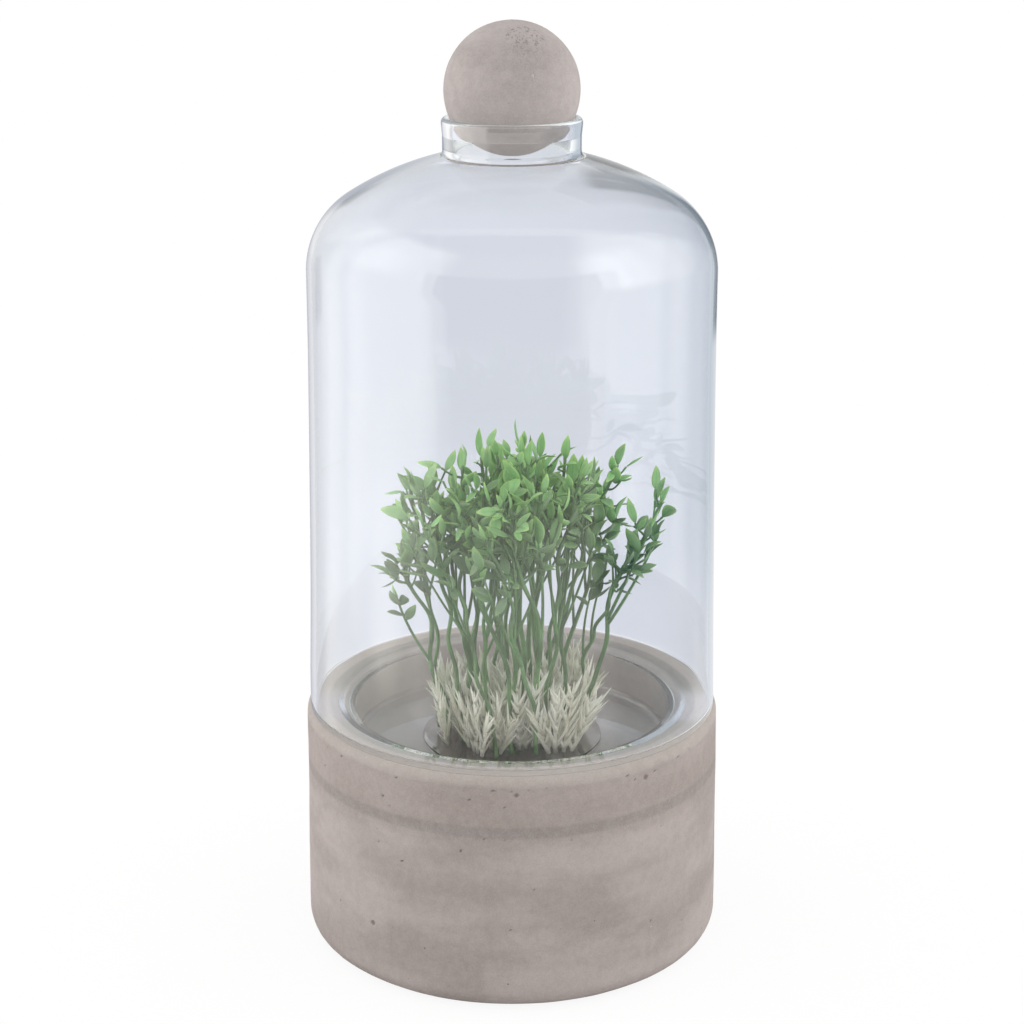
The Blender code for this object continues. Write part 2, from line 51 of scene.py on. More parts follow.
picture_width, focal_length, sensor_width = 1024, 2206.6, 36
camera_distance, camera_height, camera_pitch = 1.0078, 0.5242, 17.28
camera_data = bpy.data.cameras.new("camera")
camera_data.sensor_width = sensor_width
camera_data.lens = focal_length * sensor_width / picture_width
camera_data.clip_start = 0.05
camera = bpy.data.objects.new("camera", camera_data)
camera.location = (0, -camera_distance, camera_height)
camera.rotation_euler = (math.radians(90 - camera_pitch), 0, 0)
bpy.context.scene.collection.objects.link(camera)
bpy.context.scene.camera = camera
bpy.context.scene.view_settings.view_transform = "Standard"


def add_node(tree, kind, inputs=None, **settings):
    """A shader node with its settings, and its inputs set to values or linked to sockets."""
    made = tree.nodes.new("ShaderNode" + kind)
    for name, value in settings.items():
        setattr(made, name, value)
    for name, value in (inputs or {}).items():
        socket = made.inputs[name]
        if isinstance(value, bpy.types.NodeSocket):
            tree.links.new(value, socket)
        else:
            socket.default_value = value
    return made


def calculate(tree, operation, first, second=0.0, third=0.0):
    """Output of a Math node."""
    inputs = {0: first, 1: second, 2: third}
    return add_node(tree, "Math", inputs, operation=operation).outputs[0]


def between(tree, value, low, high, start=0.0, end=1.0):
    """Smooth step: start where value is low, end where it is high."""
    inputs = {"Value": value, "From Min": low, "From Max": high, "To Min": start, "To Max": end}
    made = add_node(tree, "MapRange", inputs, interpolation_type="SMOOTHSTEP")
    return made.outputs["Result"]


def mixed(tree, factor, first, second):
    """Colour between first and second, which are colours or sockets."""
    ends = [end if isinstance(end, bpy.types.NodeSocket) else (*end, 1) for end in (first, second)]
    return add_node(tree, "Mix", {0: factor, 6: ends[0], 7: ends[1]}, data_type="RGBA").outputs[2]


def toned(tree, colour, where, share, tone):
    """Colour drawn towards a tone by a share, in the places where the mask `where` is 1."""
    return mixed(tree, calculate(tree, "MULTIPLY", where, share), colour, tone)


def band(tree, value, low, high, soft):
    """1 where value lies between low and high, with soft ends."""
    return calculate(tree, "MULTIPLY", between(tree, value, low - soft, low + soft),
                     between(tree, value, high - soft, high + soft, 1.0, 0.0))


def by_ray(tree, path, shader, choices):
    """Shader that gives way to another for the kinds of ray in choices. A later choice outranks
    an earlier one."""
    for kind, other in choices.items():
        shader = add_node(tree, "MixShader", {0: path.outputs[kind], 1: shader.outputs[0],
                                              2: other.outputs[0]})
    return shader


def new_look(name):
    """A new material, with its node tree and its main shader."""
    material = bpy.data.materials.new(name)
    material.use_nodes = True
    return material, material.node_tree, material.node_tree.nodes["Principled BSDF"]


room = bpy.data.worlds.new("room")
bpy.context.scene.world = room
room.use_nodes = True
tree = room.node_tree
tree.nodes.clear()
path = add_node(tree, "LightPath")
way = add_node(tree, "SeparateXYZ", {0: add_node(tree, "TexCoord").outputs["Generated"]})
forward = calculate(tree, "MULTIPLY", way.outputs["Y"], -1.0)
turn, rise = calculate(tree, "ARCTAN2", way.outputs["X"], forward), way.outputs["Z"]

# What the glass mirrors. A direction is told by its turn (0 towards the camera, growing to the
# right, in radians) and its rise (-1 straight down, 1 straight up). The room has pale walls, a
# dim ceiling, a table below that is brighter on the right, a dark doorway behind the camera, and
# patches: turn from, to, softness; rise from, to, softness; tone. A later patch covers an earlier.
wall_tone, ceiling_tone, door_tone = (0.80, 0.81, 0.82), (0.55, 0.56, 0.60), (0.20, 0.20, 0.20)
table_left, table_right = (0.45, 0.45, 0.46), (1.15, 1.14, 1.15)
table_tone = mixed(tree, between(tree, way.outputs["X"], -1.0, 1.0), table_left, table_right)
mirrored = mixed(tree, between(tree, rise, -0.34, -0.27, 1.0, 0.0), wall_tone, table_tone)
mirrored = mixed(tree, between(tree, rise, 0.70, 0.88), mirrored, ceiling_tone)
for turn_low, turn_high, turn_soft, low, high, soft, tone in (
    # Towards the camera, a bright strip low down.
    (-1.00, 1.00, 0.20, -0.350, -0.252, 0.005, (2.15, 2.09, 2.07)),
    # On the right: a dark wall, a paler one further back, a bright strip low down.
    (0.84, 1.75, 0.08, -0.31, 0.10, 0.04, (0.10, 0.20, 0.32)),
    (1.75, 2.62, 0.16, -0.31, 0.10, 0.04, (0.57, 0.63, 0.71)),
    (1.30, 2.20, 0.16, -0.36, -0.31, 0.02, (1.20, 1.20, 1.20)),
    # Above them: a dim wall, a pale frame and a lamp.
    (1.42, 2.62, 0.16, 0.10, 0.85, 0.12, (0.40, 0.46, 0.54)),
    (1.15, 1.55, 0.12, 0.12, 0.70, 0.10, (1.10, 1.18, 1.22)),
    (0.76, 1.20, 0.08, 0.12, 0.70, 0.10, (2.20, 2.24, 2.24)),
    # On the left: a bright wall, and a less bright one further back.
    (-1.80, -0.70, 0.10, -0.30, 0.80, 0.05, (2.50, 2.42, 2.30)),
    (-2.40, -1.80, 0.18, -0.27, 0.80, 0.05, (1.08, 1.06, 1.06)),
    # Behind on the left: a dark wall below and a grey one above.
    (-3.05, -2.40, 0.14, -0.42, -0.06, 0.06, (0.34, 0.36, 0.46)),
    (-3.05, -2.40, 0.14, -0.06, 0.68, 0.06, (0.50, 0.52, 0.58)),
    # On the left again: a lamp, and a bright strip low down.
    (-1.58, -1.12, 0.14, 0.30, 0.66, 0.10, (3.50, 3.45, 3.30)),
    (-1.45, -1.15, 0.12, -0.34, -0.25, 0.03, (3.00, 2.95, 2.75)),
    # Black: a small spot behind on the left, and an upright strip behind on the right.
    (-2.88, -2.76, 0.04, 0.15, 0.27, 0.04, (0.02, 0.02, 0.02)),
    (2.64, 2.92, 0.05, -0.217, 0.78, 0.006, (0.02, 0.02, 0.02)),
    # Straight behind, in two halves because the turn jumps there: a pale strip under a dark one.
    (-3.30, -2.98, 0.03, 0.32, 0.385, 0.012, (1.10, 1.06, 1.35)),
    (3.00, 3.30, 0.03, 0.32, 0.385, 0.012, (2.00, 1.94, 2.25)),
    (-3.30, -2.98, 0.03, 0.397, 0.52, 0.012, (0.10, 0.10, 0.10)),
    (3.00, 3.30, 0.03, 0.397, 0.52, 0.012, (0.10, 0.10, 0.10)),
):
    patch = calculate(tree, "MULTIPLY", band(tree, turn, turn_low, turn_high, turn_soft),
                      band(tree, rise, low, high, soft))
    mirrored = mixed(tree, patch, mirrored, tone)
# The doorway widens upwards to a limit. Across it, -1 and 1 are its two sides.
door_centre, door_half, door_slope, door_limit = 0.075, 0.773, 0.51, 0.82
half_door = calculate(tree, "MULTIPLY_ADD", rise, door_slope, door_half)
half_door = calculate(tree, "MINIMUM", half_door, door_limit)
across_door = calculate(tree, "DIVIDE", calculate(tree, "SUBTRACT", turn, door_centre), half_door)
door = calculate(tree, "MULTIPLY", band(tree, across_door, -1.0, 1.0, 0.02),
                 band(tree, rise, -0.252, 0.45, 0.02))
mirrored = mixed(tree, door, mirrored, door_tone)

# What is seen through the glass: a pale wall all round where the gaze is about level, with one
# dark streak behind on the right, and the mirrored room further up and down.
level_gaze = band(tree, rise, -0.60, 0.30, 0.12)
seen_through = mixed(tree, level_gaze, mirrored, (0.74, 0.77, 0.85))
slant = calculate(tree, "MULTIPLY_ADD", way.outputs["X"], -0.5, rise)
streak = calculate(tree, "MULTIPLY", band(tree, slant, -0.118, -0.074, 0.010),
                   band(tree, way.outputs["X"], 0.050, 0.160, 0.010))
seen_through = toned(tree, seen_through, streak, 0.46, (0.06, 0.06, 0.05))
in_glass = mixed(tree, path.outputs["Is Transmission Ray"], mirrored, seen_through)

# The light itself: even and neutral, brighter from both sides and from above.
white = (1, 1, 1, 1)
front_light, side_light, light_below, light_above = 0.47, 1.50, 0.88, 1.15
sideways = calculate(tree, "MULTIPLY", way.outputs["X"], way.outputs["X"])
level = calculate(tree, "MULTIPLY", calculate(tree, "MULTIPLY_ADD", sideways, side_light, front_light),
                  between(tree, rise, -1.0, 1.0, light_below, light_above))
light = add_node(tree, "Background", {"Color": white, "Strength": level})
glassy = add_node(tree, "Background", {"Color": in_glass, "Strength": 1.0})
backdrop = add_node(tree, "Background", {"Color": white, "Strength": 1.0})
sky = by_ray(tree, path, light, {"Is Glossy Ray": glassy, "Is Transmission Ray": glassy,
                                 "Is Camera Ray": backdrop})
add_node(tree, "OutputWorld", {"Surface": sky.outputs[0]})

# The table: a round white sheet just under the object. Mirrored and refracted rays pass through
# it, and the camera sees it nearly white, with a faint shadow.
table_radius, table_height, table_points = 0.95, -0.0004, 96
table_turn = np.linspace(0, math.tau, table_points, endpoint=False)
table_edge = np.stack([table_radius * np.cos(table_turn), table_radius * np.sin(table_turn),
                       table_height + 0 * table_turn], 1)
table_mesh = bpy.data.meshes.new("table")
table_mesh.from_pydata(table_edge.tolist(), [], [list(range(table_points))])
table = bpy.data.objects.new("table", table_mesh)
bpy.context.scene.collection.objects.link(table)
table_look = bpy.data.materials.new("white table")
table_look.use_nodes = True
table_mesh.materials.append(table_look)
tree = table_look.node_tree
tree.nodes.clear()
path = add_node(tree, "LightPath")
matt = add_node(tree, "BsdfDiffuse", {"Color": (0.60, 0.60, 0.60, 1)})
glow = add_node(tree, "Emission", {"Color": white, "Strength": 1.12})
shadow_share = 0.20
looks = add_node(tree, "MixShader", {0: shadow_share, 1: glow.outputs[0], 2: matt.outputs[0]})
unseen = add_node(tree, "BsdfTransparent")
surface = by_ray(tree, path, matt, {"Is Glossy Ray": unseen, "Is Transmission Ray": unseen,
                                    "Is Camera Ray": looks})
add_node(tree, "OutputMaterial", {"Surface": surface.outputs[0]})


# Concrete base. A casting of fine warm grey concrete with a round well in its top and a drafted
# hollow underneath. The mould leaves it smooth, with clouds, pinholes along the upper edge and a
# few larger air pits in its wall. The object stands on its flat rim.

base_radius, base_height, base_draft = 0.100, 0.117, 0.0015
well_radius, well_floor = 0.0825, 0.091
hollow_radius, hollow_ceiling = 0.0815, 0.069


def outline_through(corners):
    """Outline through (radius, height, fillet, spacing) corners. Each fillet becomes an arc of
    ten steps, and the straight stretch after it is cut into lengths of about its spacing."""
    spots, spacings = [], []
    for place, (radius, height, fillet, spacing) in enumerate(corners):
        corner = np.array([radius, height])
        if fillet:
            back = np.array(corners[place - 1][:2]) - corner
            ahead = np.array(corners[place + 1][:2]) - corner
            back, ahead = back / np.linalg.norm(back), ahead / np.linalg.norm(ahead)
            half_angle = math.acos(back @ ahead) / 2
            middle = (back + ahead) / np.linalg.norm(back + ahead)
            centre = corner + middle * fillet / math.sin(half_angle)
            sweep = math.pi / 2 - half_angle
            side = (back - ahead) / np.linalg.norm(back - ahead)
            for angle in np.linspace(sweep, -sweep, 11):
                spots.append(centre + fillet * (side * math.sin(angle) - middle * math.cos(angle)))
                spacings.append(fillet)
            spacings[-1] = spacing
        else:
            spots.append(corner)
            spacings.append(spacing)
    line = [spots[0]]
    for start, end, spacing in zip(spots, spots[1:], spacings):
        count = max(1, math.ceil(np.linalg.norm(end - start) / spacing - 0.01))
        line += [start + (end - start) * step / count for step in range(1, count + 1)]
    return np.array(line)


def revolve(line, columns):
    """Surface of revolution: each (radius, height) point carried round the upright axis.
    The points on the axis at both ends are returned apart, as the poles."""
    turn = np.linspace(0, math.tau, columns, endpoint=False)
    radius, height = line[1:-1, :1], line[1:-1, 1:]
    rings = np.stack([radius * np.cos(turn), radius * np.sin(turn), height + 0 * turn], 2)
    return rings, [0, 0, line[0, 1]], [0, 0, line[-1, 1]]


def skin(rings, first_pole, last_pole):
    """Faces over rings of points, closed at both ends by a fan round a pole, all facing out.
    rings holds (count, rows, columns, 3), so that many like tubes are skinned at once."""
    if rings.ndim == 3:
        rings, first_pole, last_pole = rings[None], [first_pole], [last_pole]
    count, rows, columns = rings.shape[:3]
    number = np.arange(count * rows * columns).reshape(count, rows, columns)
    after = np.roll(number, -1, axis=2)
    quads = np.stack([number[:, :-1], after[:, :-1], after[:, 1:], number[:, 1:]], 3)
    poles = count * rows * columns + np.arange(2 * count).reshape(2, count, 1) + 0 * number[:, 0]
    fans = np.concatenate([
        np.stack([poles[0], after[:, 0], number[:, 0]], 2).reshape(-1, 3),
        np.stack([poles[1], number[:, -1], after[:, -1]], 2).reshape(-1, 3),
    ])
    points = np.concatenate([rings.reshape(-1, 3), np.reshape(first_pole, (-1, 3)),
                             np.reshape(last_pole, (-1, 3))])
    quads = quads.reshape(-1, 4)
    corners = points[np.concatenate([quads[:, :3], quads[:, [0, 2, 3]], fans])]
    volume = (corners[:, 0] * np.cross(corners[:, 1], corners[:, 2])).sum()
    if volume < 0:
        quads, fans = quads[:, ::-1], fans[:, ::-1]
    return points, quads, fans


def add_piece(name, parts, material, body, node, marks=None):
    """One smooth mesh from skinned parts, which rides on a body and stands for a CAD node.
    marks holds one number per point for each attribute that the material reads."""
    points, faces, start = [], [], 0
    for part_points, quads, fans in parts:
        points.append(part_points)
        faces += (quads + start).tolist() + (fans + start).tolist()
        start += len(part_points)
    mesh = bpy.data.meshes.new(name)
    mesh.from_pydata(np.concatenate(points).tolist(), [], faces)
    for mark, values in (marks or {}).items():
        mesh.attributes.new(mark, "FLOAT", "POINT").data.foreach_set("value", values.astype(np.float32))
    mesh.shade_smooth()
    mesh.materials.append(material)
    piece = bpy.data.objects.new(name, mesh)
    bpy.context.scene.collection.objects.link(piece)
    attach(piece, body)
    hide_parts(node)


def unevenness(points, size, seed):
    """Sum of 24 sine waves of random direction and about one size long, roughly from -1 to 1."""
    rng = np.random.default_rng(seed)
    ways = rng.normal(size=(24, 3))
    ways /= np.linalg.norm(ways, axis=1)[:, None] * size * rng.uniform(0.6, 1.8, (24, 1))
    return np.sin(points @ ways.T * math.tau + rng.uniform(0, math.tau, 24)).sum(-1) / 24**0.5


def press_pits(points, pits):
    """Points drawn towards each pit and pushed in, as a bell: (bearing, height, radius, depth).
    Returns the new points and how deep in a pit each one is, from 0 to 1."""
    deep = np.zeros(points.shape[:-1])
    across = np.hypot(points[..., 0], points[..., 1])
    bearing = np.arctan2(points[..., 0], -points[..., 1])
    for where, height, radius, depth in pits:
        sideways = (bearing - where + math.pi) % math.tau - math.pi
        above = points[..., 2] - height
        far = np.hypot(sideways * across, above) + np.where(across < 0.09, 1.0, 0.0)
        pull = 0.45 * np.clip(1 - far / (3 * radius), 0, 1)
        bell = np.clip(1 - ((1 - pull) * far / radius) ** 2, 0, 1) ** 1.5
        inward = across - depth * bell
        turned = where + sideways * (1 - pull)
        points = np.where(
            (pull > 0)[..., None],
            np.stack([inward * np.sin(turned), -inward * np.cos(turned), height + above * (1 - pull)], -1),
            points,
        )
        across, bearing = np.where(pull > 0, inward, across), np.where(pull > 0, turned, bearing)
        deep = np.maximum(deep, bell)
    return points, deep


def concrete(name, tones, scale, edge_height=None):
    """Fine cast concrete: two tones in soft clouds, grain, dark specks and pinholes. With an edge
    height it is the base's, which has a darker zone below an edge painted paler as lit from above,
    and a well with painted light and shade."""
    material, tree, shader = new_look(name)
    place = add_node(tree, "TexCoord").outputs["Object"]
    clouds = add_node(tree, "TexNoise", {"Vector": place, "Scale": 26 * scale, "Detail": 5.0,
                                         "Roughness": 0.55, "Distortion": 0.6})
    flat = add_node(tree, "Mapping", {"Vector": place, "Scale": (1, 1, 5)})
    bands = add_node(tree, "TexNoise", {"Vector": flat.outputs[0], "Scale": 9 * scale, "Detail": 3.0})
    grain = add_node(tree, "TexNoise", {"Vector": place, "Scale": 1500.0, "Detail": 4.0, "Roughness": 0.7})
    blotch = add_node(tree, "TexNoise", {"Vector": place, "Scale": 240.0, "Detail": 6.0, "Roughness": 0.7})
    cloudy = calculate(tree, "MULTIPLY_ADD", bands.outputs[0], 0.6, calculate(
        tree, "MULTIPLY", clouds.outputs[0], 0.4))
    colour = mixed(tree, between(tree, cloudy, 0.40, 0.60), *tones)
    if edge_height:
        height = add_node(tree, "SeparateXYZ", {0: place}).outputs["Z"]
        wavy = calculate(tree, "MULTIPLY_ADD", clouds.outputs[0], 0.030, height)
        upper = calculate(tree, "MULTIPLY", between(tree, wavy, edge_height - 0.019, edge_height - 0.012),
                         between(tree, height, edge_height - 0.006, edge_height - 0.0045, 1, 0))
        colour = toned(tree, colour, upper, 0.55, (0.405, 0.330, 0.300))
        # The top edge is painted paler: painted light, as where it faces the light above.
        rim_painted_light = between(tree, height, edge_height - 0.0055, edge_height - 0.0035)
        colour = toned(tree, colour, rim_painted_light, 0.8, (0.540, 0.480, 0.440))
        # Painted light and shade, toned to match the photograph through the glass: the well's wall is
        # painted paler for the glass's reflections, the ledge under the shoulder ring gets a painted
        # shadow, and the well's floor painted shade. The floor's tone is chosen by height alone, so it
        # also leaves a dark stripe round the outer wall, a known fault.
        flat_place = add_node(tree, "VectorMath", {0: place, 1: (1, 1, 0)}, operation="MULTIPLY").outputs[0]
        out = add_node(tree, "VectorMath", {0: flat_place}, operation="LENGTH").outputs["Value"]
        well_wall_painted_light = calculate(tree, "MULTIPLY", between(tree, out, 0.0822, 0.0838, 1, 0),
                         between(tree, height, 0.0925, 0.0960))
        colour = toned(tree, colour, well_wall_painted_light, 0.90, (0.740, 0.660, 0.630))
        ledge_painted_shadow = calculate(tree, "MULTIPLY", band(tree, out, 0.0838, 0.0895, 0.0010),
                          between(tree, height, 0.1115, 0.1135))
        colour = toned(tree, colour, ledge_painted_shadow, 0.60, (0.190, 0.185, 0.165))
        floor_painted_shade = band(tree, height, 0.0870, 0.0925, 0.0010)
        colour = toned(tree, colour, floor_painted_shade, 0.38, (0.190, 0.180, 0.170))
    colour = mixed(tree, 0.22, colour, mixed(tree, between(tree, grain.outputs[0], 0.35, 0.65),
                                             (0.30, 0.26, 0.24), (0.62, 0.57, 0.53)))
    colour = mixed(tree, 0.14, colour, mixed(tree, between(tree, blotch.outputs[0], 0.35, 0.65),
                                             (0.30, 0.26, 0.24), (0.60, 0.56, 0.52)))

    # Pinholes and pits: some cells hold a small hole, and more of them do along the edge. The holes
    # and the mesh's pits are painted dark, partly dirt and partly painted shade in the recesses.
    cells = add_node(tree, "TexVoronoi", {"Vector": place, "Scale": 130.0 * scale})
    chance = add_node(tree, "SeparateXYZ", {0: cells.outputs["Color"]})
    chosen = between(tree, chance.outputs["X"], 0.68, 0.70)
    if edge_height:
        line = calculate(tree, "MULTIPLY", between(tree, height, edge_height - 0.0075, edge_height - 0.005),
                         between(tree, height, edge_height - 0.0045, edge_height - 0.003, 1, 0))
        chosen = calculate(tree, "MAXIMUM", chosen, calculate(
            tree, "MULTIPLY", line, between(tree, chance.outputs["X"], 0.35, 0.37)))
    size = calculate(tree, "MULTIPLY_ADD", chance.outputs["Y"], 0.035, 0.018)
    hole = calculate(tree, "MULTIPLY", chosen, between(
        tree, calculate(tree, "SUBTRACT", cells.outputs["Distance"], size), -0.012, 0.018, 1, 0))
    pit = add_node(tree, "Attribute", attribute_name="pit").outputs["Fac"]
    hole = calculate(tree, "MAXIMUM", hole, between(tree, pit, 0.15, 0.8))
    colour = toned(tree, colour, hole, 0.62, (0.14, 0.115, 0.105))

    # Where the mesh is marked rough or speckled: fine slanting dark dashes, and pale sparks.
    rough = add_node(tree, "Attribute", attribute_name="rough").outputs["Fac"]
    slanted = add_node(tree, "Mapping", {"Vector": place, "Rotation": (0, 0.75, 0), "Scale": (1, 1, 0.28)})
    dashes = add_node(tree, "TexNoise", {"Vector": slanted.outputs[0], "Scale": 900.0, "Detail": 3.0})
    dash = calculate(tree, "MULTIPLY", rough, between(tree, dashes.outputs[0], 0.54, 0.66))
    colour = toned(tree, colour, dash, 0.75, (0.17, 0.145, 0.135))
    sparks = add_node(tree, "TexVoronoi", {"Vector": place, "Scale": 95.0 * scale})
    spark_chance = add_node(tree, "SeparateXYZ", {0: sparks.outputs["Color"]})
    spark = calculate(tree, "MULTIPLY", between(tree, spark_chance.outputs["Z"], 0.80, 0.81),
                      between(tree, sparks.outputs["Distance"], 0.02, 0.055, 1, 0))
    speck = add_node(tree, "Attribute", attribute_name="speck").outputs["Fac"]
    spark = calculate(tree, "MAXIMUM", spark, calculate(
        tree, "MULTIPLY", speck, between(tree, dashes.outputs[0], 0.58, 0.64)))
    colour = toned(tree, colour, spark, 0.5, (0.80, 0.78, 0.77))

    relief = calculate(tree, "MULTIPLY_ADD", calculate(tree, "MAXIMUM", hole, dash), -1.0, calculate(
        tree, "MULTIPLY_ADD", grain.outputs[0], 0.10, calculate(tree, "MULTIPLY", blotch.outputs[0], 0.18)))
    bump = add_node(tree, "Bump", {"Strength": 0.55, "Distance": 0.0005, "Height": relief})
    tree.links.new(colour, shader.inputs["Base Color"])
    tree.links.new(bump.outputs[0], shader.inputs["Normal"])
    tree.links.new(between(tree, blotch.outputs[0], 0.2, 0.8, 0.82, 0.95), shader.inputs["Roughness"])
    shader.inputs["Specular IOR Level"].default_value = 0.3
    return material


base_line = outline_through([
    (0, well_floor, 0, 0.008),
    (well_radius, well_floor, 0.003, 0.003),
    (well_radius, base_height, 0.0040, 0.001),
    (base_radius, base_height, 0.0045, 0.001),
    (base_radius + base_draft, 0, 0.0095, 0.004),
    (hollow_radius, 0, 0.0008, 0.006),
    (hollow_radius - 0.003, hollow_ceiling, 0.008, 0.010),
    (0, hollow_ceiling, 0, 1),
])
rings, top_pole, under_pole = revolve(base_line, columns=470)
# The outer wall is drawn in a little for its unevenness, and the well keeps its form.
shape = unevenness(rings, 0.060, 3) * 0.00016 + unevenness(rings, 0.012, 4) * 0.00004
across = np.hypot(rings[..., 0], rings[..., 1])[..., None]
outer = np.clip((across - 0.088) / 0.006, 0, 1)
rings[..., :2] *= 1 - outer * (np.abs(shape)[..., None]) / across
# Air pits: twelve placed as in the photograph, 90 strewn over the wall, 120 along its edge.
seeded = np.random.default_rng(12)
pits = [
    (-1.085, 0.0995, 0.0008, 0.0008), (-0.632, 0.0995, 0.0010, 0.0009), (-0.80, 0.0990, 0.0006, 0.0006),
    (0.66, 0.1080, 0.0020, 0.0005), (0.72, 0.1095, 0.0010, 0.0006), (0.60, 0.1085, 0.0009, 0.0006),
    (-0.665, 0.0760, 0.0007, 0.0008), (-0.235, 0.0800, 0.0008, 0.0008), (0.27, 0.0850, 0.0007, 0.0007),
    (-0.70, 0.0330, 0.0020, 0.0003), (0.70, 0.0340, 0.0007, 0.0007), (0.02, 0.1085, 0.0016, 0.0004),
]
pits += [(seeded.uniform(-math.pi, math.pi), seeded.uniform(0.014, 0.106),
          seeded.uniform(0.0004, 0.0007), seeded.uniform(0.0004, 0.0007)) for _ in range(90)]
pits += [(seeded.uniform(-math.pi, math.pi), 0.1115 + seeded.normal(0, 0.0009),
          seeded.uniform(0.0003, 0.0006), seeded.uniform(0.0003, 0.0005)) for _ in range(120)]
rings, deep = press_pits(rings, pits)
base_look = concrete("cast concrete", ((0.425, 0.360, 0.336), (0.572, 0.496, 0.472)), 1.0, base_height)
add_piece("concrete_base_cast", [skin(rings, top_pole, under_pole)], base_look, "base",
          "concrete_base", {"pit": np.append(deep.ravel(), [0, 0])})


# Glass bottle. Clear glass blown in one piece: a sunk foot that nests in the well, a flat ring
# that rests on the concrete, a wall that narrows a little upwards, a dome, a throat and a thick
# fire-polished lip. The wall is faintly uneven, as blown glass is.

glass_wall, shoulder = 0.0025, 0.1168
foot_radius, foot_bottom, glass_floor = 0.0797, 0.092, 0.096
glass_radius, body_radius, spring = 0.0984, 0.0949, 0.3288
knuckle, knuckle_turn = 0.040, math.radians(57.6)
crown = knuckle + (body_radius - knuckle) / math.cos(knuckle_turn)
crown_centre = spring - (crown - knuckle) * math.sin(knuckle_turn)
neck_bore, neck_radius, throat = 0.0284, 0.0318, 0.0272
lip_top, lip_radius = 0.398155, 0.0323


def bottle_side(inset, end_radius):
    """Wall, knuckle and crown from the bottom up, moved in by inset: the wall's radius grows
    downwards by a power of the depth, and the two arcs meet with one tangent."""
    depth = np.linspace(0.98, 0.02, 44)
    wall = np.stack([body_radius + 0.0035 * depth**1.585 - inset, spring - depth * 0.2115], 1)
    turn = np.linspace(0, knuckle_turn, 22)
    small = np.stack([body_radius - knuckle + (knuckle - inset) * np.cos(turn),
                      spring + (knuckle - inset) * np.sin(turn)], 1)
    turn = np.linspace(knuckle_turn, math.acos(end_radius / (crown - inset)), 26)[1:]
    large = np.stack([(crown - inset) * np.cos(turn), crown_centre + (crown - inset) * np.sin(turn)], 1)
    return np.concatenate([wall, small, large])


inner_side = bottle_side(glass_wall, throat)
outer_side = bottle_side(0, neck_radius + 0.0022)[::-1]
lip_round = 0.0019
bottle_line = np.concatenate([
    outline_through([
        (0, glass_floor, 0, 0.008),
        (foot_radius - 0.0040, glass_floor, 0.0035, 0.003),
        (foot_radius - 0.0029, shoulder - 0.0015, 0.0009, 0.001),
        (foot_radius + 0.0022, shoulder + 0.0008, 0.0040, 0.001),
        (glass_radius - glass_wall, shoulder + 0.0022, 0.0012, 0.004),
        (*inner_side[0], 0, 1),
    ])[:-1],
    inner_side,
    outline_through([
        (throat, inner_side[-1, 1], 0, 1),
        (throat + 0.0001, inner_side[-1, 1] + 0.0040, 0.0030, 0.001),
        (neck_bore, inner_side[-1, 1] + 0.0110, 0.0090, 0.002),
        (neck_bore, lip_top, lip_round, 0.001),
        (lip_radius, lip_top, lip_round, 0.001),
        (lip_radius, lip_top - 0.0030, 0.0030, 0.001),
        (neck_radius, lip_top - 0.0080, 0.0030, 0.002),
        (neck_radius, outer_side[0, 1] + 0.0004, 0.0030, 0.001),
        (*outer_side[1], 0, 1),
    ])[1:-1],
    outer_side[1:],
    outline_through([
        (*outer_side[-1], 0, 0.004),
        (glass_radius, shoulder, 0.0009, 0.004),
        (foot_radius + 0.0052, shoulder, 0.0030, 0.001),
        (foot_radius, shoulder - 0.0023, 0.0014, 0.001),
        (foot_radius - 0.0015, foot_bottom, 0.005, 0.008),
        (0, foot_bottom, 0, 1),
    ])[1:],
])
rings, inner_pole, outer_pole = revolve(bottle_line, columns=220)
uneven = unevenness(rings * (1, 1, 0.35), 0.030, 7) * 0.00005 + unevenness(rings, 0.055, 8) * 0.00007
across = np.hypot(rings[..., 0], rings[..., 1])
upper = np.clip((rings[..., 2] - 0.122) / 0.01, 0, 1) * np.clip((across - 0.04) / 0.02, 0, 1)
rings[..., :2] *= (1 + uneven * upper / across)[..., None]
glass, tree, shader = new_look("clear glass")
shader.inputs["Base Color"].default_value = (0.985, 0.988, 0.992, 1)
shader.inputs["Roughness"].default_value = 0.0
shader.inputs["IOR"].default_value = 1.45
shader.inputs["Transmission Weight"].default_value = 1.0
# Shadow rays and the rays from matt surfaces pass straight through the glass. After a mirroring
# it is only tinted, so that its walls don't mirror each other without end.
open_glass = add_node(tree, "BsdfTransparent", {"Color": (0.99, 0.995, 1.0, 1)})
tinted_glass = add_node(tree, "BsdfTransparent", {"Color": (0.90, 0.92, 0.92, 1)})
surface = by_ray(tree, add_node(tree, "LightPath"), shader, {
    "Glossy Depth": tinted_glass, "Is Shadow Ray": open_glass, "Is Diffuse Ray": open_glass})
tree.links.new(surface.outputs[0], tree.nodes["Material Output"].inputs["Surface"])
add_piece("glass_bottle_blown", [skin(rings, inner_pole, outer_pole)], glass, "bottle",
          "glass_bottle")


# Ball stopper. A ball of the same concrete that closes the neck by its own weight. A streak of
# fine dashes and pale specks runs down from its top, where the mould was filled. It sits on the
# inside of the lip.

ball_radius, ball_columns, ball_rows = 0.0312, 260, 150
ball_low, ball_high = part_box("ball_stopper")
ball_middle = (ball_low + ball_high) / 2
turn = np.linspace(0, math.tau, ball_columns, endpoint=False)
tilt = np.linspace(-math.pi / 2, math.pi / 2, ball_rows)[1:-1, None]
ball = np.stack([np.cos(tilt) * np.sin(turn), -np.cos(tilt) * np.cos(turn), np.sin(tilt) + 0 * turn], 2)
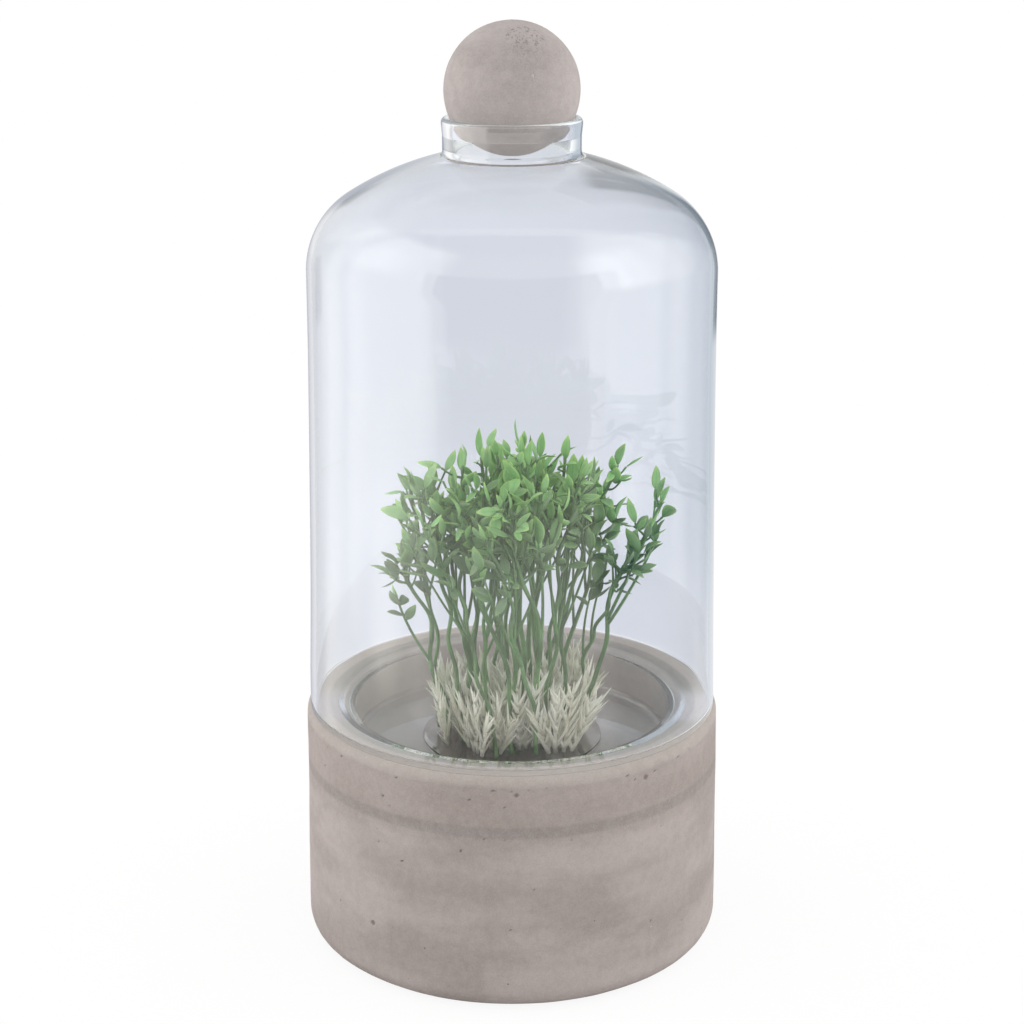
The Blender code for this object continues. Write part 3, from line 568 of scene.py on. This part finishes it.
# The streak: dashes in a cone that narrows from 19 to 6 degrees and fades, and specks that grow.
streak_start, streak_end = np.array([0.184, -0.565, 0.804]), np.array([0.270, -0.910, 0.310])
rough, speck = 0, 0
for way in np.linspace(0, 1, 12):
    middle = streak_start * (1 - way) + streak_end * way
    near = ball @ (middle / np.linalg.norm(middle))
    reach = math.cos(math.radians(19 - 13 * way))
    rough = np.maximum(rough, np.clip((near - reach) / (1 - reach) * 1.5, 0, 1) * (1 - 0.55 * way))
    speck = np.maximum(speck, np.clip((near - reach) / (1 - reach) * 2, 0, 1) * way)
height = ball_radius - 0.00012 + 0.00008 * unevenness(ball * ball_radius, 0.03, 23)
height = height + rough * unevenness(ball * ball_radius, 0.0028, 21) * 0.00005
rings = ball * height[..., None] + np.array(ball_middle)
ball_look = concrete("ball concrete", ((0.425, 0.376, 0.364), (0.512, 0.455, 0.442)), 1.6)
to_pole = Vector((0, 0, ball_radius))
add_piece("ball_stopper_cast", [skin(rings, ball_middle - to_pole, ball_middle + to_pole)],
          ball_look, "stopper", "ball_stopper",
          {"rough": np.append(rough.ravel(), [0, 0]), "speck": np.append(speck.ravel(), [0, 0])})


# Plant disc. A thin clear plastic disc that lies on the glass floor. The stems and roots are
# moulded into it, so only its rim shows.

disc_radius, disc_thickness, disc_bottom = 0.044, 0.002, 0.0963
disc_line = outline_through([
    (0, disc_bottom, 0, 0.01),
    (disc_radius - 0.0003, disc_bottom, 0.0003, 0.001),
    (disc_radius, disc_bottom + disc_thickness / 2, 0.0006, 0.001),
    (disc_radius - 0.0015, disc_bottom + disc_thickness, 0.0010, 0.01),
    (0, disc_bottom + disc_thickness, 0, 1),
])
clear_plastic, tree, shader = new_look("clear plastic")
shader.inputs["Base Color"].default_value = (0.96, 0.95, 0.93, 1)
shader.inputs["Roughness"].default_value = 0.03
shader.inputs["IOR"].default_value = 1.08
shader.inputs["Specular IOR Level"].default_value = 0.2
shader.inputs["Transmission Weight"].default_value = 1.0
add_piece("plant_disc_clear", [skin(*revolve(disc_line, columns=120))], clear_plastic, "plant",
          "plant_disc")


# Cress sprigs. Thirty moulded green plastic stems that sway and cross. Twigs with pointed oval
# leaves fork from their upper parts. The leaves' tips are paler, where the mould's second colour
# was sprayed on, and their edges carry a painted highlight. Upper leaves are painted brighter, as
# lit from above. The stems stand where the CAD stems stand.

plant_bottom, stem_foot = 0.0963, 0.0023
stem_count, root_count, feet_radius = 30, 24, 0.037
golden_angle, stem_twist = math.radians(137.508), math.radians(34)
plant_seed, crown_spread, stem_height = 41, 0.059, 0.142
twig_limit, shoot_limit, leaf_limit = 0.074, 0.072, 0.086


def out_share(place):
    """How far out a place among the feet is, from 0 to 1: a root, as the seeds of a sunflower."""
    return math.sqrt((place + 0.5) / (stem_count + root_count))


def foot_point(place):
    """Foot at a place: the turn grows by the golden angle, the radius by the out share."""
    radius, angle = feet_radius * out_share(place), place * golden_angle
    return np.array([radius * math.cos(angle), radius * math.sin(angle), stem_foot])


def stem_place(index):
    """Place of a stem's foot: stems and roots take turns, a stem first and last of nine."""
    return index // 5 * 9 + index % 5 * 2


def stem_heads():
    """Top of each stem: a crown that is tallest in the middle, with a few stray stems."""
    heads = []
    for index in range(stem_count):
        rng = random.Random(plant_seed * 100 + index)
        place = stem_place(index)
        radius = crown_spread * out_share(place) * rng.uniform(0.88, 1.04)
        height = stem_height - 0.026 * out_share(place) ** 2 * rng.uniform(0.6, 1.4)
        angle = place * golden_angle + (stem_twist if place < 27 else -stem_twist)
        heads.append(np.array([radius * math.cos(angle), radius * math.sin(angle), height]))
    outer = list(range(stem_count // 2, stem_count))
    for azimuth, reach, height in ((352, 1.21, 0.86), (338, 0.97, 0.67), (12, 0.88, 0.95),
                                   (182, 0.83, 0.90), (196, 0.91, 0.64)):
        toward = np.array([math.cos(math.radians(azimuth)), math.sin(math.radians(azimuth)), 0])
        nearest = max(outer, key=lambda index: foot_point(stem_place(index)) @ toward)
        outer.remove(nearest)
        heads[nearest] = toward * reach * crown_spread + (0, 0, height * stem_height)
    return heads


def stem_line(index, head, share):
    """Points up a stem: a parabola from its foot to its head, with two sine waves across it, a
    long one and a short small one, that both fade at its ends."""
    rng = random.Random(plant_seed * 200 + index)
    foot = foot_point(stem_place(index))
    bend = foot + (head - foot) * 0.25
    bend[2] = head[2] * 0.60
    direction, phase = rng.uniform(0, math.tau), rng.uniform(0, math.tau)
    across = np.array([math.cos(direction), math.sin(direction), 0])
    other = np.array([-across[1], across[0], 0])
    share = np.asarray(share)[:, None]
    fade = 4 * share * (1 - share)
    wave = across * 0.0034 * np.sin(1.6 * math.tau * share + phase) * fade
    small = other * 0.0013 * np.sin(4.3 * math.tau * share + phase * 2) * fade
    line = foot * (1 - share) ** 2 + bend * 2 * share * (1 - share) + head * share**2
    return line + wave + small + (0, 0, plant_bottom)


def unit(ways):
    """Ways scaled to length 1."""
    return ways / np.linalg.norm(ways, axis=-1, keepdims=True)


def limbs(lines, side, radii, sides, flat=1.0):
    """Tubes: an ellipse of points carried along each line, (count, rows, 3). The ellipse lies
    across the line, its long axis along side, and its size follows radii, (count, rows)."""
    along = unit(np.gradient(lines, axis=1))
    side = unit(side - along * (along * side).sum(-1, keepdims=True))
    front = np.cross(along, side)
    turn = np.linspace(0, math.tau, sides, endpoint=False)[:, None]
    ring = side[:, :, None] * np.cos(turn) + front[:, :, None] * np.sin(turn) * flat
    return skin(lines[:, :, None] + ring * radii[:, :, None, None], lines[:, 0], lines[:, -1])


leaf_rows = np.array([0.03, 0.10, 0.20, 0.33, 0.47, 0.61, 0.74, 0.86, 0.95, 0.99])
leaf_turn = np.linspace(0, math.tau, 8, endpoint=False)
leaf_thickness, leaf_fold = 0.00030, 0.14


def leaves(starts, headings, rolls, lengths, widths, bends):
    """Pointed ovals. Half the width is a sine of the way along to a power, the cross-section is
    a thin lens that folds up from the midrib, and the middle line bends as a parabola."""
    level = np.cross([0, 0, 1.0], headings)
    level = np.where(np.linalg.norm(level, axis=1, keepdims=True) < 0.05, [1.0, 0, 0], level)
    level = unit(level)
    upper = np.cross(headings, level)
    across = level * np.cos(rolls)[:, None] + upper * np.sin(rolls)[:, None]
    upper = np.cross(headings, across)
    way = leaf_rows[:, None]
    half = np.sin(math.pi * leaf_rows**0.85) ** 0.80
    line = (starts[:, None] + headings[:, None] * way * lengths[:, None, None]
            + upper[:, None] * (bends * lengths)[:, None, None] * (way - way**2) * 4)
    wide = np.cos(leaf_turn) * half[:, None]
    thick = np.sin(leaf_turn) * half[:, None] * leaf_thickness
    folded = np.abs(wide) ** 1.5 * widths[:, None, None] * leaf_fold
    rings = (line[:, :, None]
             + across[:, None, None] * (wide * widths[:, None, None] / 2)[..., None]
             + upper[:, None, None] * (thick + folded)[..., None])
    tips = starts + headings * lengths[:, None]
    return skin(rings, starts, tips)


green, tree, shader = new_look("green plastic")
along_leaf = add_node(tree, "Attribute", attribute_name="along").outputs["Fac"]
edge = add_node(tree, "Attribute", attribute_name="edge").outputs["Fac"]
tone = add_node(tree, "Attribute", attribute_name="tone").outputs["Fac"]
is_leaf = add_node(tree, "Attribute", attribute_name="leaf").outputs["Fac"]
place = add_node(tree, "TexCoord").outputs["Object"]
mottle = add_node(tree, "TexNoise", {"Vector": place, "Scale": 420.0, "Detail": 4.0})
patches = add_node(tree, "TexNoise", {"Vector": place, "Scale": 60.0, "Detail": 2.0})
# The tone runs from dull to bright green: painted light, with higher leaves brighter as lit from above.
leaf_green = mixed(tree, tone, (0.180, 0.250, 0.160), (0.330, 0.640, 0.240))
leaf_green = mixed(tree, between(tree, along_leaf, 0.0, 0.40, 0.55, 0.0), leaf_green, (0.125, 0.240, 0.105))
# Pale at the tips, the mould's second colour, and along the edges, a painted highlight.
tip_colour_and_edge_highlight = calculate(tree, "MULTIPLY", calculate(tree, "MAXIMUM", between(tree, along_leaf, 0.62, 1.0),
                                               between(tree, edge, 0.70, 1.0, 0.0, 0.75)),
                  calculate(tree, "MULTIPLY_ADD", tone, 0.70, 0.15))
leaf_green = mixed(tree, tip_colour_and_edge_highlight, leaf_green, (0.60, 0.86, 0.27))
leaf_green = mixed(tree, between(tree, edge, 0.0, 0.16, 0.35, 0.0), leaf_green, (0.11, 0.26, 0.09))
stem_green = mixed(tree, between(tree, patches.outputs[0], 0.35, 0.65), (0.095, 0.155, 0.075),
                   (0.165, 0.310, 0.125))
colour = mixed(tree, is_leaf, stem_green, leaf_green)
colour = mixed(tree, 0.18, colour, mixed(tree, mottle.outputs[0], (0.09, 0.17, 0.07), (0.36, 0.66, 0.24)))
tree.links.new(colour, shader.inputs["Base Color"])
veins = add_node(tree, "Bump", {"Strength": 0.35, "Distance": 0.0002, "Height": mottle.outputs[0]})
tree.links.new(veins.outputs[0], shader.inputs["Normal"])
shader.inputs["Roughness"].default_value = 0.42

heads = stem_heads()
for index, head in enumerate(heads):
    # The stem, which thickens at the six nodes of its upper part.
    rng = np.random.default_rng(plant_seed * 10 + index)
    leafless = 0.56 * stem_height / head[2]
    node_shares = leafless + (1 - leafless) * np.array([0.06, 0.22, 0.38, 0.55, 0.72, 0.88])
    share = np.linspace(0, 1, 52)
    line = stem_line(index, head, share)[None]
    spin = index * golden_angle
    side = np.array([math.cos(spin), math.sin(spin), 0.0])
    knots = np.exp(-((share[:, None] - node_shares) / 0.008) ** 2).sum(1)
    radii = (0.00135 - 0.00055 * share + 0.00025 * knots)[None]
    parts = [limbs(line, side, radii, 8, 0.8)]

    # Twigs: two from each node, of which about four in five are kept.
    count = len(node_shares) * 2
    at = np.repeat(node_shares, 2) + rng.uniform(-0.015, 0.015, count)
    roots = stem_line(index, head, at)
    along = unit(stem_line(index, head, at + 0.01) - roots)
    turn = spin + np.repeat(np.arange(len(node_shares)), 2) * 1.3 + np.tile([0, math.pi], len(node_shares))
    outward = np.stack([np.cos(turn), np.sin(turn), 0 * turn], 1)
    outward = unit(outward - along * (along * outward).sum(1, keepdims=True))
    lift = np.radians(rng.uniform(15, 60, count))[:, None]
    headings = unit(outward * np.cos(lift) + along * np.sin(lift) + rng.uniform(-0.3, 0.3, (count, 3)))
    lengths = rng.uniform(0.0075, 0.0150, count) * (1.25 - 0.5 * at)
    kept = rng.uniform(size=count) < 0.80
    ends = roots + headings * lengths[:, None] + [0, 0, 0.001]
    kept &= np.hypot(ends[:, 0], ends[:, 1]) < twig_limit
    roots, headings, ends = roots[kept], headings[kept], ends[kept]
    way = np.linspace(0, 1, 6)[:, None]
    sag = np.array([0, 0, -1.0]) * rng.uniform(-0.0008, 0.0022, (len(roots), 1, 1))
    twig_lines = roots[:, None] * (1 - way) + ends[:, None] * way + sag * (way - way**2) * 4
    twig_radii = np.repeat([[0.00075, 0.00060, 0.00050, 0.00046, 0.00048, 0.0006]], len(roots), 0)
    parts.append(limbs(twig_lines, np.array([0.3, 0.2, 0.9]), twig_radii, 6))

    # Two side shoots, each a parabola that leaves the stem a third to half of the way up.
    fork = stem_line(index, head, rng.uniform(0.32, 0.52, 2))
    aside = unit(rng.normal(size=(2, 3)) * [1, 1, 0])
    shoot_ends = stem_line(index, head, rng.uniform(0.80, 0.93, 2))
    shoot_ends = shoot_ends + aside * rng.uniform(0.007, 0.012, (2, 1))
    shoot_ends[:, :2] *= np.minimum(1, shoot_limit / np.hypot(*shoot_ends.T[:2]))[:, None]
    way = np.linspace(0, 1, 14)[:, None]
    shoot_bends = (fork + shoot_ends) / 2 + aside * 0.0035
    shoots = (fork[:, None] * (1 - way) ** 2 + shoot_bends[:, None] * 2 * way * (1 - way)
              + shoot_ends[:, None] * way**2)
    shoot_radii = np.repeat([0.00085 - 0.00035 * way[:, 0]], 2, 0)
    parts.append(limbs(shoots, side, shoot_radii, 6, 0.8))

    # Leaves: at the twigs' ends, along the shoots, in pairs on some twigs, and one at the top.
    starts, ways = [ends], [headings + rng.normal(0, 0.30, headings.shape)]
    for place, spread in ((-1, 0.0), (-2, 0.9), (-2, -0.9), (-4, 0.8), (-5, -0.8)):
        starts.append(shoots[:, place])
        ways.append(unit(shoots[:, -1] - shoots[:, -3]) + spread * unit(rng.normal(size=(2, 3))))
    paired = rng.uniform(size=len(roots)) < 0.40
    for hand in (-1, 1):
        sideways = unit(np.cross(headings, rng.normal(size=headings.shape)))
        starts.append((roots * 0.35 + ends * 0.65)[paired])
        ways.append((headings * 0.7 + sideways * 0.85 * hand)[paired])
    starts.append(line[0, -1:])
    ways.append(unit(line[0, -1:] - line[0, -3:-2]))
    starts, ways = np.concatenate(starts), unit(np.concatenate(ways) + [0, 0, 0.06])
    leaf_count = len(starts)
    leaf_lengths = 0.0082 + 0.0068 * rng.uniform(size=leaf_count) ** 1.3
    leaf_lengths[len(ends) + 10:-1] *= 0.85
    reach = np.hypot(*(starts + ways * leaf_lengths[:, None]).T[:2])
    leaf_lengths *= np.where(reach > leaf_limit, 0.6, 1.0)
    parts.append(leaves(starts, ways, rng.normal(0, 0.60, leaf_count), leaf_lengths,
                        leaf_lengths * rng.uniform(0.37, 0.47, leaf_count),
                        rng.uniform(-0.14, 0.14, leaf_count)))

    # What the look reads at each point: leaf or not, way along it, how near its edge, its tone.
    limb_points = len(parts[0][0]) + len(parts[1][0]) + len(parts[2][0])
    leaf_points = leaf_count * len(leaf_rows) * len(leaf_turn)
    poles = [0.0] * leaf_count, [1.0] * leaf_count
    # A leaf's tone grows with its height, with a random spread: painted light from above.
    tones = np.clip((starts[:, 2] - 0.180) / 0.050 + rng.normal(0, 0.30, leaf_count), 0.05, 1)
    row_share = np.tile(np.repeat(leaf_rows, len(leaf_turn)), leaf_count)
    marks = {
        "leaf": np.repeat([0.0, 1.0], [limb_points, leaf_points + 2 * leaf_count]),
        "along": np.concatenate([np.zeros(limb_points), row_share, *poles]),
        "edge": np.concatenate([np.zeros(limb_points), np.tile(np.abs(np.cos(leaf_turn)),
                                leaf_count * len(leaf_rows)), *poles]),
        "tone": np.concatenate([np.zeros(limb_points), np.repeat(tones, len(leaf_rows) * len(leaf_turn)),
                                tones, tones]),
    }
    add_piece(f"sprig_{index + 1:02d}", parts, green, "plant",
              f"cress_sprig_{index + 1:02d}", marks)


# Root sprays. Cream plastic roots round and between the stems' feet: each is a fan of a few
# ribs with long pointed spikes that slant up from both sides, moulded flat and set upright.

cream, tree, shader = new_look("cream plastic")
place = add_node(tree, "TexCoord").outputs["Object"]
tint = add_node(tree, "TexNoise", {"Vector": place, "Scale": 90.0, "Detail": 3.0})
streaks = add_node(tree, "TexNoise", {"Vector": add_node(tree, "Mapping", {
    "Vector": place, "Scale": (1, 1, 0.15)}).outputs[0], "Scale": 900.0, "Detail": 2.0})
colour = mixed(tree, between(tree, tint.outputs[0], 0.35, 0.65), (0.88, 0.88, 0.72), (0.97, 0.97, 0.88))
colour = mixed(tree, 0.2, colour, mixed(tree, streaks.outputs[0], (0.40, 0.38, 0.28), (0.86, 0.86, 0.78)))
tree.links.new(colour, shader.inputs["Base Color"])
grooves = add_node(tree, "Bump", {"Strength": 0.4, "Distance": 0.0002, "Height": streaks.outputs[0]})
tree.links.new(grooves.outputs[0], shader.inputs["Normal"])
shader.inputs["Roughness"].default_value = 0.45

for index in range(root_count):
    # Four ribs that fan out and lean outward.
    seeded = random.Random(plant_seed * 400 + index)
    foot = foot_point(index // 4 * 9 + index % 4 * 2 + 1) + (0, 0, plant_bottom)
    outward = unit(np.array([foot[0], foot[1], 0.0]))
    height = 0.034 * seeded.uniform(0.75, 1.15)
    lean = 0.26 * seeded.uniform(0.3, 1.0)
    rng = np.random.default_rng(plant_seed * 20 + index)
    swing = rng.uniform(-0.5, 0.5)
    sideways = np.cross([0, 0, 1.0], outward) * math.cos(swing) + outward * math.sin(swing)
    fan = np.array([-0.42, -0.15, 0.13, 0.40]) + rng.uniform(-0.06, 0.06, 4)
    tall = height * np.array([0.70, 0.95, 1.0, 0.76])
    lean_out = lean + rng.uniform(-0.14, 0.16, 4)
    ribs = unit(np.array([0, 0, 1.0]) + outward * lean_out[:, None] + sideways * fan[:, None])
    ribs = ribs * tall[:, None]
    bases = foot + sideways * fan[:, None] * 0.013
    way = np.linspace(0, 1, 9)[:, None]
    bulge = sideways * fan[:, None, None] * 0.010 * (way - way**2)
    rib_lines = bases[:, None] + ribs[:, None] * way + bulge
    rib_radii = np.repeat([0.00110 - 0.00092 * way[:, 0] ** 1.4], 4, 0)
    parts = [limbs(rib_lines, sideways, rib_radii, 6, 0.7)]
    # Spikes: one to each side at six places up each rib.
    nodes = np.array([0.04, 0.18, 0.33, 0.48, 0.63, 0.78])
    at = np.tile(np.repeat(nodes, 2), 4) + rng.uniform(-0.05, 0.05, 8 * len(nodes))
    owner = np.repeat(np.arange(4), 2 * len(nodes))
    hand = np.tile([1.0, -1.0], 4 * len(nodes))
    starts = bases[owner] + ribs[owner] * at[:, None]
    lengths = rng.uniform(0.0110, 0.0165, len(at)) * (1.05 - 0.45 * at)
    slant = rng.uniform(0.28, 0.60, len(at))
    spikes = unit(unit(ribs)[owner] + sideways * (hand * slant)[:, None]
                  + outward * rng.uniform(-0.35, 0.35, (len(at), 1)))
    way = np.linspace(0, 1, 6)[:, None]
    curl = (unit(ribs)[owner] * 0.14 * lengths[:, None])[:, None] * (way**2)
    spike_lines = starts[:, None] + spikes[:, None] * lengths[:, None, None] * way + curl
    spike_radii = np.repeat([[0.00100, 0.00096, 0.00086, 0.00068, 0.00040, 0.00005]], len(at), 0)
    parts.append(limbs(spike_lines, sideways, spike_radii, 6, 0.7))
    add_piece(f"roots_{index + 1:02d}", parts, cream, "plant",
              f"root_spray_{index + 1:02d}")
